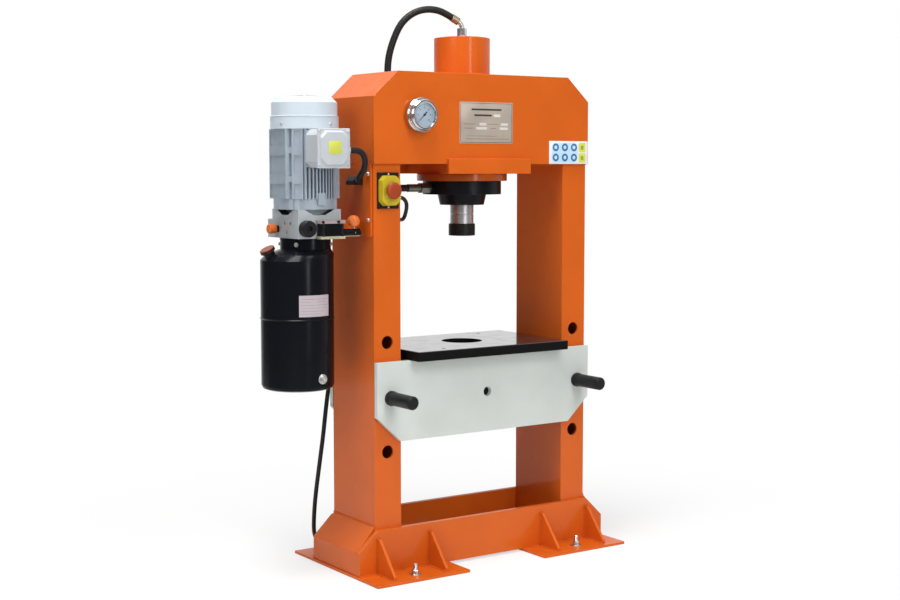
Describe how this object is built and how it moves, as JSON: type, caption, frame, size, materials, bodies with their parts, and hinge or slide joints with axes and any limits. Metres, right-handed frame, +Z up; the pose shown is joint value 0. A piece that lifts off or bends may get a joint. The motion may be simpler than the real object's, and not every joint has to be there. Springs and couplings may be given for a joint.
{
  "type": "hydraulic workshop press",
  "caption": "Motor-driven H-frame workshop press with a hydraulic cylinder in the crown, a pinned table beam, a table plate and a power pack on one column.",
  "frame": {"origin": "on the floor under the ram's axis, midway between the columns and between the front and back plates", "axes": "+Z up along the ram's axis, +Y from the operator's side to the back, +X along the width from the power pack's column to the other column"},
  "size_m": [1.217, 0.646, 1.7714],
  "materials": {
    "orange_paint": "semi-gloss",
    "grey_paint": "semi-gloss",
    "black_paint": "gloss",
    "motor_grey": "semi-gloss",
    "cast_aluminium": "satin",
    "zinc_steel": "satin",
    "black_steel": "oxide, satin",
    "ram_chrome": "polished",
    "bezel_chrome": "polished",
    "brass": "satin",
    "gauge_glass": "clear",
    "black_rubber": "satin",
    "black_plastic": "matt",
    "tank_black": "gloss",
    "yellow_plastic": "semi-gloss",
    "red_plastic": "semi-gloss",
    "orange_plastic": "gloss"
  },
  "bodies": {
    "frame": {"adapter_flange": "cast_aluminium", "base_back_plate": "orange_paint", "base_cover_left": "orange_paint", "base_cover_right": "orange_paint", "base_front_plate": "orange_paint", "beam_back_plate": "grey_paint", "beam_front_plate": "grey_paint", "beam_webs": "grey_paint", "block_plug": "black_steel", "cable_entries": "black_rubber", "column_left": "orange_paint", "column_right": "orange_paint", "crosshead_seat": "orange_paint", "crown_back_plate": "orange_paint", "crown_bottom_plate": "orange_paint", "crown_cover_left": "orange_paint", "crown_cover_right": "orange_paint", "crown_front_plate": "orange_paint", "crown_top_plate": "orange_paint", "cylinder_barrel": "orange_paint", "cylinder_gland": "black_paint", "cylinder_head_cap": "orange_paint", "fan_cowl": "motor_grey", "foot_left": "orange_paint", "foot_right": "orange_paint", "gauge_case": "bezel_chrome", "gauge_glass": "gauge_glass", "hose_lower": "black_rubber", "hose_top": "black_rubber", "lever_valve": "zinc_steel", "lower_fitting": "zinc_steel", "mains_coil": "black_rubber", "mains_cord": "black_rubber", "mains_gland": "black_plastic", "mains_plug": "black_plastic", "motor_housing": "motor_grey", "motor_lead": "black_rubber", "oil_tank": "tank_black", "pack_bracket": "orange_paint", "press_table": "black_paint", "stop_body": "yellow_plastic", "stop_lead": "black_rubber", "stop_plate": "black_plastic", "terminal_box": "motor_grey", "terminal_lid": "motor_grey", "top_elbow": "zinc_steel", "top_ferrule": "brass", "valve_block": "cast_aluminium"},
    "ram_body": {"ram": "ram_chrome", "ram_nose": "black_steel"},
    "pin_left_body": {"pin_left": "black_steel"},
    "pin_right_body": {"pin_right": "black_steel"},
    "stop_stem_body": {"stop_stem": "black_plastic"},
    "stop_head_body": {"stop_head": "red_plastic"},
    "lever_body": {"valve_lever": "zinc_steel", "lever_ball": "orange_plastic"},
    "relief_knob_body": {"relief_knob": "orange_plastic"},
    "filler_cap_body": {"filler_cap": "red_plastic"},
    "pointer_body": {"gauge_pointer": "black_plastic"},
    "fan_body": {"motor_fan": "black_plastic"}
  },
  "joints": [
    {"name": "ram_stroke", "type": "slide", "parent": "frame", "child": "ram_body", "axis": [0, 0, -1], "range_m": [-0.055, 0.25]},
    {"name": "pin_left_pull", "type": "slide", "parent": "frame", "child": "pin_left_body", "axis": [0, -1, 0], "range_m": [0, 0.33]},
    {"name": "pin_right_pull", "type": "slide", "parent": "frame", "child": "pin_right_body", "axis": [0, -1, 0], "range_m": [0, 0.33]},
    {"name": "stop_press", "type": "slide", "parent": "frame", "child": "stop_stem_body", "axis": [0, 1, 0], "range_m": [0, 0.005]},
    {"name": "stop_release", "type": "hinge", "parent": "stop_stem_body", "child": "stop_head_body", "pos_m": [-0.363, -0.156, 1.187], "axis": [0, 1, 0], "range_deg": [0, 30], "stiffness_Nm_per_rad": 0.05},
    {"name": "lever_swing", "type": "hinge", "parent": "frame", "child": "lever_body", "pos_m": [-0.4645, -0.094, 1.061], "axis": [0, 1, 0], "range_deg": [-18, 18], "stiffness_Nm_per_rad": 1},
    {"name": "relief_turn", "type": "hinge", "parent": "frame", "child": "relief_knob_body", "pos_m": [-0.65, 0.046, 1.072], "axis": [-1, 0, 0], "range_deg": [-360, 360]},
    {"name": "filler_cap_lift", "type": "slide", "parent": "frame", "child": "filler_cap_body", "axis": [-0.4695, 0, 0.8829], "range_m": [0, 0.06]},
    {"name": "gauge_sweep", "type": "hinge", "parent": "frame", "child": "pointer_body", "pos_m": [-0.255, -0.165, 1.417], "axis": [0, 1, 0], "range_deg": [0, 270], "stiffness_Nm_per_rad": 0.002},
    {"name": "fan_spin", "type": "hinge", "parent": "frame", "child": "fan_body", "pos_m": [-0.579, 0, 1.4], "axis": [0, 0, 1], "continuous": true}
  ]
}
